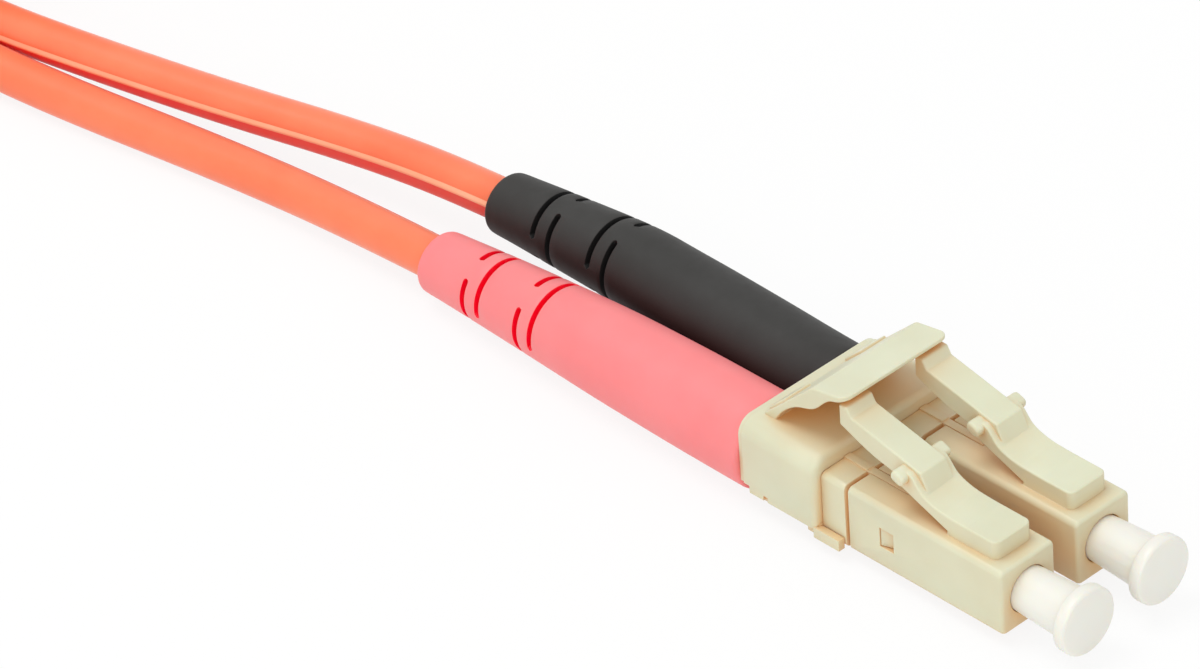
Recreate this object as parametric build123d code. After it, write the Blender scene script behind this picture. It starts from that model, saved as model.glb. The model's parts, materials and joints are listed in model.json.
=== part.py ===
from build123d import *
import math
import os

os.makedirs("parts", exist_ok=True)

# Duplex fibre plug: two square-nosed plugs held side by side in one clip, on a two-leg cord.
# +X is the way the plugs go in, +Y runs from the red leg to the black leg and +Z is up.
# The origin lies under the middle of the pair, on the surface that its boots rest on.
# All sizes are millimetres. A plug's own frame starts at its nose face, on its axis.

# Clearances
RUN = 0.05  # side clearance of pieces that slide or turn in each other
SEAT = 0.02  # gap between pieces that are put together and stay

# Pair and plug bodies
PITCH = 6.25  # from plug axis to plug axis
PLUG_W = 4.45
PLUG_H = 4.52
PLUG_EDGE = 0.4  # rounding of the long edges
NOSE_EDGE = 0.25  # rounding of the nose face's edges
FRONT_LEN = 12.2  # front housing
HOUSING_GAP = 0.3  # open joint between front and rear housing
BAND_LEN = 1.9  # full-section band of the rear housing, in front of the clip

# Nose and inside of the front housing
RECESS_DEPTH = 1.6
SHOULDER_T = 0.8
CAVITY_D = 3.1
SPIGOT_W = 3.6
SPIGOT_LEN = 4.3  # rear housing's spigot, forward from its band
WINDOW_LEN = 1.1
WINDOW_H = 1.34
WINDOW_FRONT = 8.62  # nose face to the window's front edge
KEY_W = 0.55
KEY_LEN = 3.0
KEY_RISE = 0.12  # ridge on the band above the housing's top

# Latch
ROOT_FRONT = 1.2  # nose face to the latch's foot
ROOT_LEN = 3.7
ROOT_H = 1.22
ROOT_CORNER = 0.4
ROOT_EDGE = 0.2
STRAP_W = 3.0
STRAP_LIFT = 0.22  # strap's underside above the housing at the hinge
STRAP_RISE = 1.68  # the same at the lugs' catch faces
TAIL_W = 2.16
STEP_BACK = 1.82  # hinge to the foot of the raised tail's front face
STEP_RISE = 1.76  # strap's top above the housing there
STEP_LEAN = 0.53
STEP_H = 1.1
LUG_W = 4.12
LUG_BACK = 3.9  # hinge to the lugs' catch faces
LUG_LEN = 1.02
LUG_H = 0.72
LUG_TOP = 2.77  # top of the strap's shoulders beside the lugs, above the housing
LUG_EDGE = 0.28
TAIL_LEN = 8.85  # hinge to the tail's end
TAIL_H = 1.42
TAIL_SAG = 0.2  # hollow of the tail's underside
TAIL_EDGE = 0.25
TIP_RISE = 4.62  # tail's tip above the housing
LIP_LEN = 0.62  # flat of the raised lip along the tail's end
LIP_RAMP = 0.33
LIP_H = 0.56

# Clip and trigger
CLIP_LEN = 6.3
CLIP_SIDE = 0.55  # clip beyond the plugs' sides
CLIP_ROOF = 1.03  # clip above the plugs' tops
CLIP_TOP_EDGE = 1.2
CLIP_FRONT_EDGE = 0.45
SKIRT_RISE = 0.6  # clip's lower edge above the plugs' undersides
LIP_INSET = 0.6  # snap lips under the necks, inside the clip's sides
NECK_W = 3.9
NECK_TOP = 2.0  # neck above the plug's axis
NECK_BOTTOM = 1.5
SNAP_GAP = 2.7  # opening between the snap lips, under each neck
TONGUE_LEN = 1.82
TONGUE_T = 0.48
TONGUE_H = 0.75
STAY_LEN = 1.0  # inner stay that carries each tongue
STAY_INSET = 0.3
HEEL_LEN = 0.8
HEEL_RISE = 0.5
NOTCH_LEN = 0.35
NOTCH_FRONT = 4.0  # clip's front to the notch behind its skirt
NOTCH_RISE = 0.35
RIM_LEN = 0.35  # shallow rim at the clip's rear
RIM_STEP = 0.1
TRIGGER_W = 8.74
TRIGGER_ROOT = 1.75  # clip's rear to the front of the trigger's root
TRIGGER_FOOT = 0.95
TRIGGER_CORNER = 0.7
TIP_OVERHANG = 0.66  # trigger's edge beyond the tail's end
TIP_T = 0.3
LATCH_GAP = 0.16  # trigger's underside above the tail's tip
TIP_SLOPE = 0.38
BROW_BACK = 2.69  # trigger's edge to the bend in its top
BROW_DROP = 0.47
BROW_R = 0.9
PAD_W = 2.1
PAD_H = 0.16
PAD_FOOT = 0.4  # rear slope below the pads
PAD_LEN = 1.9
# Trigger's underside from root to edge, as parts of its length and of its rise
TRIGGER_WAVE = ((0, 0), (0.076, 0.16), (0.28, 0.41), (0.54, 0.565), (0.796, 0.892), (0.913, 0.95), (1, 1))

# Ferrule train
FERRULE_D = 1.25
FERRULE_LEN = 6.4
FERRULE_OUT = 2.2  # ferrule's tip beyond the nose face
FERRULE_TRAVEL = 0.8
FERRULE_CHAMFER = 0.12
FLANGE_D = 2.9
FLANGE_LEN = 1.55
TAIL_TUBE_D = 1.5
TAIL_TUBE_LEN = 4.6
FIBRE_D = 0.9
SPRING_D = 2.7
SPRING_WIRE = 0.3  # square wire
SPRING_LEN = 4.95
SPRING_TURNS = 4

# Crimp
POST_BARREL_D = 2.1
POST_D = 2.6
POST_BORE_D = 1.6
POST_LEN = 4.0
POST_COLLAR_D = 4.0
POST_COLLAR_T = 0.5
POST_BARREL_LEN = 6.0
RING_PITCH = 1.9
RING_DEPTH = 0.12
YARN_T = 0.3
SLEEVE_T = 0.35
SLEEVE_TAIL = 3.2  # sleeve on the jacket, behind the post
STUB_D = 4.2
STUB_LEN = 2.2

# Boot
BOOT_R = 3.05
BOOT_LEN = 28.9
BOOT_SHAPE = ((0.0, 3.05), (6.2, 3.02), (12.8, 2.88), (19.2, 2.57), (25.2, 2.25), (28.9, 2.03))
BOOT_RIM = 0.35
SLIT_W = 0.42
SLIT_DEPTH = 0.62
SLIT_ANGLE = 144
SLIT_PAIRS = (4.25, 9.2)  # boot's rear end to the rear slit of each pair
SLIT_STEP = 1.36
RED_SLIT_TURN = 31
BLACK_SLIT_TURN = 91.5

# Dust cap
CAP_OUT = 4.71
CAP_IN = 1.2
CAP_BASE_D = 2.92
CAP_NECK_D = 3.32
CAP_FLANGE_D = 4.35
CAP_FLANGE_T = 0.8
CAP_EDGE = 0.12
CAP_BORE_LEN = 4.6

# Cord
CABLE_D = 2.8

# Hank of the folded length, with its tie
HANK_X = -86.9  # middle of the front loop
HANK_Y = 4.2
HANK_RUN = 54.0  # from loop to loop
HANK_LOOP_R = 12.9
HANK_WAIST = 12.2
HANK_H = 19.0
HANK_TAPER = 20.0  # length over which each loop narrows to the waist
TIE_W = 5.0
TIE_T = 0.7
TIE_GAP = 0.1
TIE_CORNER = 2.0

# Stations along the plug's axis
front_rear = -FRONT_LEN
band_front = front_rear - HOUSING_GAP
band_rear = band_front - BAND_LEN
clip_front = band_rear - SEAT
clip_rear = clip_front - CLIP_LEN
boot_front = clip_rear - SEAT
boot_rear = boot_front - BOOT_LEN
spigot_front = band_front + SPIGOT_LEN
shoulder_rear = -RECESS_DEPTH - SHOULDER_T
flange_front = shoulder_rear - RUN
flange_rear = flange_front - FLANGE_LEN
ferrule_rear = FERRULE_OUT - FERRULE_LEN
tube_rear = flange_rear - TAIL_TUBE_LEN
spring_front = flange_rear - SEAT
spring_rear = spring_front - SPRING_LEN
spring_seat = spring_rear - SEAT
stub_rear = clip_rear - STUB_LEN
collar_front = stub_rear - SEAT
post_front = collar_front - POST_COLLAR_T
post_rear = post_front - POST_LEN
sleeve_front = post_front - SEAT
sleeve_rear = post_rear - SLEEVE_TAIL
cable_front = post_rear - RUN
fibre_rear = cable_front + FERRULE_TRAVEL + RUN
hinge_x = -ROOT_FRONT - ROOT_LEN - RUN
plug_top = PLUG_H / 2
tail_x = hinge_x - TAIL_LEN
clip_half = PITCH / 2 + PLUG_W / 2 + CLIP_SIDE
clip_top = plug_top + CLIP_ROOF
yarn_d = POST_D + 2 * (SEAT + YARN_T)
sleeve_bore = yarn_d + 2 * SEAT
sleeve_d = sleeve_bore + 2 * SLEEVE_T

# Where the pair lies
NOSE_X = -(CAP_OUT + boot_rear) / 2
AXIS_Z = BOOT_R

# Routes of the two legs, from inside the boots to the hank
RED_ROUTE = [
    (NOSE_X + cable_front, -PITCH / 2, AXIS_Z),
    (-17.5, -PITCH / 2, AXIS_Z),
    (-34.5, -3.0, 2.04),
    (-46.0, -3.75, 1.52),
    (-61.0, -6.1, 1.44),
    (-70.5, -7.1, 1.75),
    (-78.6, -7.3, 2.2),
]
BLACK_ROUTE = [
    (NOSE_X + cable_front, PITCH / 2, AXIS_Z),
    (-10.8, PITCH / 2, AXIS_Z),
    (-17.0, 3.08, 4.12),
    (-30.5, 2.6, 3.3),
    (-39.5, 1.7, 2.92),
    (-50.0, -0.8, 2.85),
    (-62.0, -3.3, 2.85),
    (-69.0, -4.2, 2.6),
    (-75.9, -4.25, 2.35),
]
ARC_SHARE = 0.45  # part of the shorter run that each bend takes


def bar(x0, x1, y0, y1, z0, z1):
    """Box between two corners."""
    return Pos((x0 + x1) / 2, (y0 + y1) / 2, (z0 + z1) / 2) * Box(abs(x1 - x0), abs(y1 - y0), abs(z1 - z0))


def rod(diameter, x0, x1):
    """Round bar along X."""
    return Pos((x0 + x1) / 2, 0, 0) * Rot(0, 90, 0) * Cylinder(diameter / 2, abs(x1 - x0))


def tube(outer, inner, x0, x1):
    return rod(outer, x0, x1) - rod(inner, x0 - 1, x1 + 1)


def side_plate(face, width):
    """Plate of the given width whose side view is drawn in X and Z."""
    return extrude(Plane.XZ * face, amount=width / 2, both=True)


def polygon(*points):
    return Polyline(*points, close=True)


def long_edges(solid):
    return solid.edges().filter_by(Axis.X)


def cross_edges(solid):
    return solid.edges().filter_by(Axis.Y)


def front_housing():
    body = bar(front_rear, 0, -PLUG_W / 2, PLUG_W / 2, -PLUG_H / 2, plug_top)
    body = fillet(long_edges(body), PLUG_EDGE)
    body = fillet(body.faces().sort_by(Axis.X)[-1].edges(), NOSE_EDGE)
    foot = bar(hinge_x + RUN, -ROOT_FRONT, -STRAP_W / 2, STRAP_W / 2, 0, plug_top + ROOT_H)
    foot_corners = foot.edges().filter_by(Axis.Z).group_by(Axis.X)[-1]
    foot = fillet(foot_corners, ROOT_CORNER)
    foot_rim = foot.faces().sort_by(Axis.Z)[-1].edges().sort_by(Axis.X)[1:]
    foot = chamfer(foot_rim, ROOT_EDGE)
    body += foot
    body -= rod(CAP_BASE_D + 2 * RUN, -RECESS_DEPTH, 1)
    body -= rod(FLANGE_D - 2 * SHOULDER_T, -RECESS_DEPTH - SHOULDER_T, 0)
    body -= rod(CAVITY_D, spigot_front, shoulder_rear)
    socket = SPIGOT_W / 2 + SEAT
    body -= bar(front_rear - 1, spigot_front + RUN, -socket, socket, -socket, socket)
    window_rear = -WINDOW_FRONT - WINDOW_LEN
    body -= bar(window_rear, -WINDOW_FRONT, -PLUG_W, PLUG_W, -WINDOW_H / 2, WINDOW_H / 2)
    slot = KEY_W / 2 + RUN
    body -= bar(front_rear - 1, front_rear + KEY_LEN, -slot, slot, 0, PLUG_H)
    return body


def rear_housing():
    band = bar(band_rear, band_front, -PLUG_W / 2, PLUG_W / 2, -PLUG_H / 2, plug_top)
    band = fillet(long_edges(band), PLUG_EDGE)
    half = SPIGOT_W / 2
    spigot = bar(band_front, spigot_front, -half, half, -half, half)
    body = band + spigot
    tab_reach = PLUG_W / 2 - RUN
    tab_front = -WINDOW_FRONT - RUN
    tab_rear = -WINDOW_FRONT - WINDOW_LEN + RUN
    ramp = polygon((tab_front, 0), (tab_rear, 0), (tab_rear, tab_reach), (tab_front, half))
    tab_height = WINDOW_H / 2 - RUN
    tab = extrude(make_face(ramp), amount=tab_height, both=True)
    body += tab + mirror(tab, Plane.XZ)
    body += bar(band_front, front_rear + KEY_LEN - RUN, -KEY_W / 2, KEY_W / 2, 0, plug_top)
    body += bar(band_rear, band_front, -KEY_W / 2, KEY_W / 2, 0, plug_top + KEY_RISE)
    body += bar(clip_rear, band_rear, -NECK_W / 2, NECK_W / 2, -NECK_BOTTOM, NECK_TOP)
    body += rod(STUB_D, stub_rear, clip_rear)
    body -= rod(SPRING_D + 2 * RUN, spring_seat, spigot_front + 1)
    body -= rod(TAIL_TUBE_D + 4 * RUN, stub_rear - 1, spring_seat + 1)
    body -= rod(POST_BARREL_D + 2 * SEAT, stub_rear - 1, stub_rear + POST_BARREL_LEN + SEAT)
    return body


def at_hinge(back, rise):
    """Point of the latch's side view, from its hinge back and up from the housing's top."""
    return (hinge_x - back, plug_top + rise)


def latch():
    foot = at_hinge(0, ROOT_H)
    under = at_hinge(0, STRAP_LIFT)
    step = at_hinge(STEP_BACK, STEP_RISE)
    step_top = at_hinge(STEP_BACK + STEP_LEAN, STEP_RISE + STEP_H)
    shoulder = at_hinge(LUG_BACK - LUG_LEN, LUG_TOP)
    shoulder_rear = at_hinge(LUG_BACK, LUG_TOP)
    strap_rear = at_hinge(LUG_BACK, STRAP_RISE)
    swept_top = Spline(foot, step, shoulder, tangents=((-1, 0), (-1, 0)))
    strap = make_face([swept_top, Polyline(shoulder, shoulder_rear, strap_rear, under, foot)])

    lip_foot = at_hinge(TAIL_LEN - LIP_LEN - LIP_RAMP, TIP_RISE - LIP_H)
    lip_top = at_hinge(TAIL_LEN - LIP_LEN, TIP_RISE)
    tip = at_hinge(TAIL_LEN, TIP_RISE)
    tip_low = at_hinge(TAIL_LEN, TIP_RISE - TAIL_H)
    sag = at_hinge((TAIL_LEN + LUG_BACK) / 2, (TIP_RISE - TAIL_H + STRAP_RISE) / 2 - TAIL_SAG)
    hollow = ThreePointArc(tip_low, sag, strap_rear)
    root = at_hinge(STEP_BACK, (STRAP_LIFT + STEP_RISE) / 2)
    tail = make_face([hollow, Polyline(strap_rear, root, step, step_top, lip_foot, lip_top, tip, tip_low)])
    tail = fillet(tail.vertices().group_by(Axis.X)[0], TAIL_EDGE)

    slope = math.degrees(math.atan2(STRAP_RISE - STRAP_LIFT, LUG_BACK))
    lug_x, lug_z = at_hinge(LUG_BACK - LUG_LEN / 2, LUG_TOP - LUG_H / 2)
    lugs = Pos(lug_x, lug_z) * Rot(0, 0, -slope) * RectangleRounded(LUG_LEN, LUG_H, LUG_EDGE)
    return side_plate(strap, STRAP_W) + side_plate(tail, TAIL_W) + side_plate(lugs, LUG_W)


def trigger():
    root_x = clip_rear + TRIGGER_ROOT
    root_z = clip_top + RUN
    tip_x = tail_x + TIP_OVERHANG
    tip_z = plug_top + TIP_RISE + LATCH_GAP + TIP_SLOPE * TIP_OVERHANG
    wave = Spline(*[(root_x + u * (tip_x - root_x), root_z + v * (tip_z - root_z)) for u, v in TRIGGER_WAVE])
    heel = Vector(root_x - TRIGGER_FOOT, root_z)
    brow = Vector(tip_x - BROW_BACK, tip_z + TIP_T - BROW_DROP)
    side_view = make_face([wave, Polyline((tip_x, tip_z), (tip_x, tip_z + TIP_T), brow, heel, (root_x, root_z))])
    side_view = fillet(side_view.vertices().sort_by_distance(brow)[0], BROW_R)
    plate = side_plate(side_view, TRIGGER_W)
    side = TRIGGER_W / 2
    plan = make_face(polygon((heel.X - 1, -side), (tip_x, -side), (tip_x, side), (heel.X - 1, side)))
    plan = fillet(plan.vertices().group_by(Axis.X)[-1], TRIGGER_CORNER)
    plate &= extrude(Pos(0, 0, clip_top) * plan, amount=TIP_RISE + PLUG_H)
    slope = (brow - heel).normalized()
    out = Vector(-slope.Y, slope.X) * PAD_H
    low = heel + slope * PAD_FOOT
    high = low + slope * PAD_LEN
    pad = side_plate(make_face(polygon(low - out, high - out, high + out, low + out)), PAD_W)
    return plate + Pos(0, PITCH / 2, 0) * pad + Pos(0, -PITCH / 2, 0) * pad


def clip():
    under = -PLUG_H / 2
    skirt = under + SKIRT_RISE
    body = bar(clip_rear, clip_front, -clip_half, clip_half, skirt, clip_top)
    body = fillet(long_edges(body).group_by(Axis.Z)[-1], CLIP_TOP_EDGE)
    body = fillet(body.faces().sort_by(Axis.X)[-1].edges(), CLIP_FRONT_EDGE)
    rim_half = clip_half - RIM_STEP
    rim = bar(clip_rear - 1, clip_rear + RIM_LEN, -rim_half, rim_half, under - 1, clip_top - RIM_STEP)
    rim = fillet(long_edges(rim).group_by(Axis.Z)[-1], CLIP_TOP_EDGE - RIM_STEP)
    body -= bar(clip_rear - 1, clip_rear + RIM_LEN, -PITCH * 2, PITCH * 2, under - 1, clip_top + 1) - rim
    lip_half = clip_half - LIP_INSET
    body += bar(clip_rear + HEEL_LEN, clip_front, -lip_half, lip_half, under + SEAT, skirt)
    for side in (-1, 1):
        tongue_out = side * clip_half
        tongue_in = side * (clip_half - TONGUE_T)
        tongue_rear = clip_front - TONGUE_T / 2
        body += bar(tongue_rear, clip_front + TONGUE_LEN, tongue_in, tongue_out, under, under + TONGUE_H)
        stay_in = side * (lip_half - STAY_INSET)
        stay_out = side * (clip_half - STAY_INSET)
        body += bar(clip_front - STAY_LEN, clip_front, stay_in, stay_out, under + SEAT, skirt + STAY_INSET)
        channel = NECK_W / 2 + SEAT
        axis_y = side * PITCH / 2
        low = -NECK_BOTTOM - SEAT
        body -= bar(clip_rear - 1, clip_front + 1, axis_y - channel, axis_y + channel, low, NECK_TOP + SEAT)
        gap = SNAP_GAP / 2
        body -= bar(clip_rear - 1, clip_front + 1, axis_y - gap, axis_y + gap, under - 1, 0)
        notch_rear = clip_front - NOTCH_FRONT - NOTCH_LEN
        notch_top = skirt + NOTCH_RISE
        notch_out = side * (clip_half + 1)
        notch_in = side * lip_half
        body -= bar(notch_rear, notch_rear + NOTCH_LEN, notch_in, notch_out, under - 1, notch_top)
    body -= bar(clip_rear - 1, clip_rear + HEEL_LEN, -PITCH * 2, PITCH * 2, under - 1, skirt + HEEL_RISE)
    return body


def ferrule():
    body = rod(FERRULE_D, ferrule_rear, FERRULE_OUT)
    return chamfer(body.edges().sort_by(Axis.X)[-1], FERRULE_CHAMFER)


def ferrule_flange():
    body = rod(FLANGE_D, flange_rear, flange_front) + rod(TAIL_TUBE_D, tube_rear, flange_rear)
    body -= rod(FERRULE_D + 2 * SEAT, ferrule_rear - SEAT, 0)
    body -= rod(FIBRE_D + 2 * SEAT, tube_rear - 1, 0)
    return body


def spring():
    radius = (SPRING_D - SPRING_WIRE) / 2
    height = SPRING_LEN - SPRING_WIRE
    coil = Helix(height / SPRING_TURNS, height, radius)
    across = Vector(1, 0, 0)
    section = Plane(origin=coil @ 0, x_dir=across, z_dir=coil % 0) * Rectangle(SPRING_WIRE, SPRING_WIRE)
    wire = sweep(section, path=coil, is_frenet=True)
    return Pos(spring_rear + SPRING_WIRE / 2, 0, 0) * Rot(0, 90, 0) * wire


def buffered_fibre():
    return rod(FIBRE_D, fibre_rear, ferrule_rear - SEAT)


def crimp_post():
    body = rod(POST_BARREL_D, collar_front, stub_rear + POST_BARREL_LEN)
    body += rod(POST_COLLAR_D, post_front, collar_front)
    body += rod(POST_D, post_rear, post_front)
    ring_count = int(POST_LEN / RING_PITCH)
    for ring in range(1, ring_count):
        ring_x = post_front - ring * RING_PITCH
        body -= tube(POST_D + 1, POST_D - 2 * RING_DEPTH, ring_x - RING_DEPTH, ring_x + RING_DEPTH)
    return body - rod(POST_BORE_D, post_rear - 1, 0)


def yarn():
    return tube(yarn_d, POST_D + 2 * SEAT, post_rear, sleeve_front)


def crimp_sleeve():
    tail_bore = CABLE_D + 2 * SEAT
    body = rod(sleeve_d, post_rear - SLEEVE_T, sleeve_front)
    body += rod(tail_bore + 2 * SLEEVE_T, sleeve_rear, post_rear)
    body -= rod(sleeve_bore, post_rear, sleeve_front + 1)
    return body - rod(tail_bore, sleeve_rear - 1, 0)


def dust_cap():
    neck_x = CAP_OUT - CAP_FLANGE_T
    bore_end = CAP_BORE_LEN - CAP_IN
    bore_r = FERRULE_D / 2 + RUN
    section = polygon(
        (-CAP_IN, bore_r),
        (-CAP_IN, CAP_BASE_D / 2),
        (0, CAP_BASE_D / 2),
        (neck_x, CAP_NECK_D / 2),
        (neck_x, CAP_FLANGE_D / 2),
        (CAP_OUT, CAP_FLANGE_D / 2),
        (CAP_OUT, 0),
        (bore_end, 0),
        (bore_end, bore_r),
    )
    cap = revolve(make_face(section), axis=Axis.X)
    rims = cap.edges().filter_by(GeomType.CIRCLE)
    front_rim = rims.group_by(Axis.X)[-1]
    return chamfer(front_rim, CAP_EDGE)


def bend_shift(x, route):
    """Sideways and upward shift of a boot's centre at x, as it follows the bends of its leg."""
    points = [Vector(*point) for point in route]
    shift = Vector(0, 0, 0)
    for before, bend, after in zip(points, points[1:], points[2:]):
        run_in = before - bend
        run_out = bend - after
        reach = ARC_SHARE * min(run_in.length, run_out.length)
        past = bend.X - x
        if past > reach:
            share = past
        else:
            share = max(past + reach, 0) ** 2 / (4 * reach)
        shift += (run_in / run_in.X - run_out / run_out.X) * share
    return Vector(0, shift.Y, shift.Z)


def boot_radius(back):
    """Boot's outer radius at a distance behind its front."""
    for (start, r0), (end, r1) in zip(BOOT_SHAPE, BOOT_SHAPE[1:]):
        if back <= end:
            return r0 + (r1 - r0) * (back - start) / (end - start)
    return BOOT_SHAPE[-1][1]


def boot_section(back, route):
    """Plane across a boot, centred on it, at a distance behind its front."""
    x = NOSE_X + boot_front - back
    centre = Vector(x, route[0][1], AXIS_Z) + bend_shift(x, route)
    return Plane(origin=centre, x_dir=(0, 1, 0), z_dir=(1, 0, 0))


def boot(route, slit_turn):
    rings = [boot_section(back, route) * Circle(radius) for back, radius in BOOT_SHAPE]
    body = loft(rings, ruled=True)
    body = chamfer(body.edges().sort_by(Axis.X)[0], BOOT_RIM)
    inside = rod(STUB_D + 2 * SEAT, stub_rear - SEAT, boot_front + 1)
    inside += rod(max(sleeve_d, POST_COLLAR_D) + 2 * SEAT, sleeve_rear - SEAT, boot_front)
    body -= Pos(NOSE_X, route[0][1], AXIS_Z) * inside
    body -= leg(route[:4], CABLE_D + 2 * RUN)
    for pair in SLIT_PAIRS:
        for step, turn in ((0, slit_turn), (SLIT_STEP, slit_turn + 90)):
            back = BOOT_LEN - pair - step
            floor_r = boot_radius(back) - SLIT_DEPTH
            for side in (0, 180):
                start = turn + side - SLIT_ANGLE / 2
                inner = CenterArc((0, 0), floor_r, start, SLIT_ANGLE)
                outer = CenterArc((0, 0), BOOT_R, start, SLIT_ANGLE)
                ends = [Line(inner @ 0, outer @ 0), Line(inner @ 1, outer @ 1)]
                body -= extrude(boot_section(back, route) * make_face([inner, outer, *ends]), amount=SLIT_W)
    return body


def bend_radii(points):
    """Radius of each bend: as large as its two runs allow."""
    radii = []
    for before, here, after in zip(points, points[1:], points[2:]):
        run_in = Vector(*here) - Vector(*before)
        run_out = Vector(*after) - Vector(*here)
        half_turn = math.radians(run_in.get_angle(run_out)) / 2
        radii.append(ARC_SHARE * min(run_in.length, run_out.length) / math.tan(half_turn))
    return radii


def leg(points, diameter):
    """Round solid along a route of straight runs and tangent arcs."""
    path = FilletPolyline(*points, radius=bend_radii(points))
    section = Plane(origin=path @ 0, z_dir=path % 0) * Circle(diameter / 2)
    return sweep(section, path=path)


def cable(name, points):
    path = FilletPolyline(*points, radius=bend_radii(points))
    solid = leg(points, CABLE_D)
    share = solid.volume / (path.length * math.pi * CABLE_D**2 / 4)
    radii = ", ".join(f"{radius:.0f}" for radius in bend_radii(points))
    print(f"{name}: length {path.length:.1f}, bend radii {radii}, volume over section by length {share:.4f}")
    return solid


def cable_hank():
    waist = HANK_WAIST / 2
    near = HANK_RUN / 2 - HANK_TAPER
    far = HANK_RUN / 2
    body = polygon(
        (far, HANK_LOOP_R), (near, waist), (-near, waist), (-far, HANK_LOOP_R),
        (-far, -HANK_LOOP_R), (-near, -waist), (near, -waist), (far, -HANK_LOOP_R),
    )
    outline = make_face(body) + Pos(far, 0) * Circle(HANK_LOOP_R) + Pos(-far, 0) * Circle(HANK_LOOP_R)
    lift = TIE_T + TIE_GAP
    return extrude(Pos(HANK_X - far, HANK_Y, lift) * outline, amount=HANK_H)


def hank_tie():
    middle = HANK_X - HANK_RUN / 2
    half = HANK_WAIST / 2 + TIE_GAP
    top = TIE_T + HANK_H + 2 * TIE_GAP
    outside = bar(middle - TIE_W / 2, middle + TIE_W / 2, HANK_Y - half - TIE_T, HANK_Y + half + TIE_T, 0, top + TIE_T)
    outside = fillet(long_edges(outside), TIE_CORNER)
    return outside - bar(middle - TIE_W, middle + TIE_W, HANK_Y - half, HANK_Y + half, TIE_T, top)


def at_plug(solid, side):
    return Pos(NOSE_X, side * PITCH / 2, AXIS_Z) * solid


PLUG_PIECES = {
    "front_housing": front_housing,
    "rear_housing": rear_housing,
    "latch": latch,
    "ferrule": ferrule,
    "ferrule_flange": ferrule_flange,
    "spring": spring,
    "buffered_fibre": buffered_fibre,
    "crimp_post": crimp_post,
    "yarn": yarn,
    "crimp_sleeve": crimp_sleeve,
    "dust_cap": dust_cap,
}

nodes = {}
for piece, make in PLUG_PIECES.items():
    solid = make()
    nodes[f"red_{piece}"] = at_plug(solid, -1)
    nodes[f"black_{piece}"] = at_plug(solid, 1)
nodes["red_boot"] = boot(RED_ROUTE, RED_SLIT_TURN)
nodes["black_boot"] = boot(BLACK_ROUTE, BLACK_SLIT_TURN)
nodes["clip"] = at_plug(clip(), 0)
nodes["trigger"] = at_plug(trigger(), 0)
nodes["red_cable"] = cable("red_cable", RED_ROUTE)
nodes["black_cable"] = cable("black_cable", BLACK_ROUTE)
nodes["cable_hank"] = cable_hank()
nodes["hank_tie"] = hank_tie()

for name, solid in nodes.items():
    export_step(solid, f"parts/{name}.step")
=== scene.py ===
import json
import math

import bmesh
import bpy
import numpy
from mathutils import Matrix, Vector


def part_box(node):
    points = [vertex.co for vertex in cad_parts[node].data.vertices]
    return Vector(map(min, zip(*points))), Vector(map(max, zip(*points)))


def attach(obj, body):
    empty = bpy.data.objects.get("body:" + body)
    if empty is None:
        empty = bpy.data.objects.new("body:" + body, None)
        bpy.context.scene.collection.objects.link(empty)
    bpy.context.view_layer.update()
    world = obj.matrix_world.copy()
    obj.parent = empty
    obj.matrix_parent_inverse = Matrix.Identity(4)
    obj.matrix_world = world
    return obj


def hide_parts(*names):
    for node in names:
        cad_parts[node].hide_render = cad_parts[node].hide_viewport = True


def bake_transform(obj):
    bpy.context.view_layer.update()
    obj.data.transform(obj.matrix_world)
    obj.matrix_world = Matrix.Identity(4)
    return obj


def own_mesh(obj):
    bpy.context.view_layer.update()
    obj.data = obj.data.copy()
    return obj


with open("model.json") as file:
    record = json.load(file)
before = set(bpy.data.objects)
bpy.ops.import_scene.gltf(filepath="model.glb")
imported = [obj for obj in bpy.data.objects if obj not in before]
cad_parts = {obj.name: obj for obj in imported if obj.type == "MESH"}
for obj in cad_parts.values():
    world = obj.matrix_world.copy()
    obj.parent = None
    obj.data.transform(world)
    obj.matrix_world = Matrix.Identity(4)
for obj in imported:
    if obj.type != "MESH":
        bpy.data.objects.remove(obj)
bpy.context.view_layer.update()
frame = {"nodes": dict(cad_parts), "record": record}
nodes = frame["nodes"]

# Lengths are in millimetres and angles in degrees, unless a comment says otherwise
MM = 0.001

# Camera at the photograph's angle
CAMERA_PLACE = (256.379, -239.854, 263.965)
CAMERA_AZIMUTH = 48.671
CAMERA_ELEVATION = 35.960
CAMERA_ROLL = -4.242
CAMERA_LENS = 222.13
CAMERA_NEAR = 10.0
SENSOR_WIDTH = 36.0

# Studio: each lamp's place, size and power in watts
LAMPS = {
    "key": ((-150, -120, 600), 350, 1.35),
    "fill": ((420, -420, 300), 400, 0.85),
}
FLOOR_HALF = 3000
FLOOR_COLOUR = (0.92, 0.92, 0.91, 1)
FLOOR_GLOW = 0.87  # share of plain white in the floor that is seen; the rest shows the shadow
SKY_LIGHT = 0.7  # strength of the sky that lights the part
SKY_SHOWN = 1.0  # strength of the sky that is seen

# Textures, in cycles per metre
PLASTIC_CLOUD = 260
PLASTIC_GLOSS = 1400
PLASTIC_GRAIN = 9000
JACKET_CLOUD = 180
JACKET_GLOSS = 900
JACKET_GRAIN = 2600
METAL_CLOUD = 700
METAL_GLOSS = 2400
METAL_GRAIN = 6000
THREADS = 900
RAMP_START, RAMP_END = 0.3, 0.7  # noise values between which a clouded colour changes
COLOUR_A, COLOUR_B, COLOUR_OUT = 6, 7, 2  # colour sockets of a Mix node

# Plug pair
PITCH = 6.25
AXIS_Z = 3.05
SIDES = {"red": -1, "black": 1}

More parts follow.
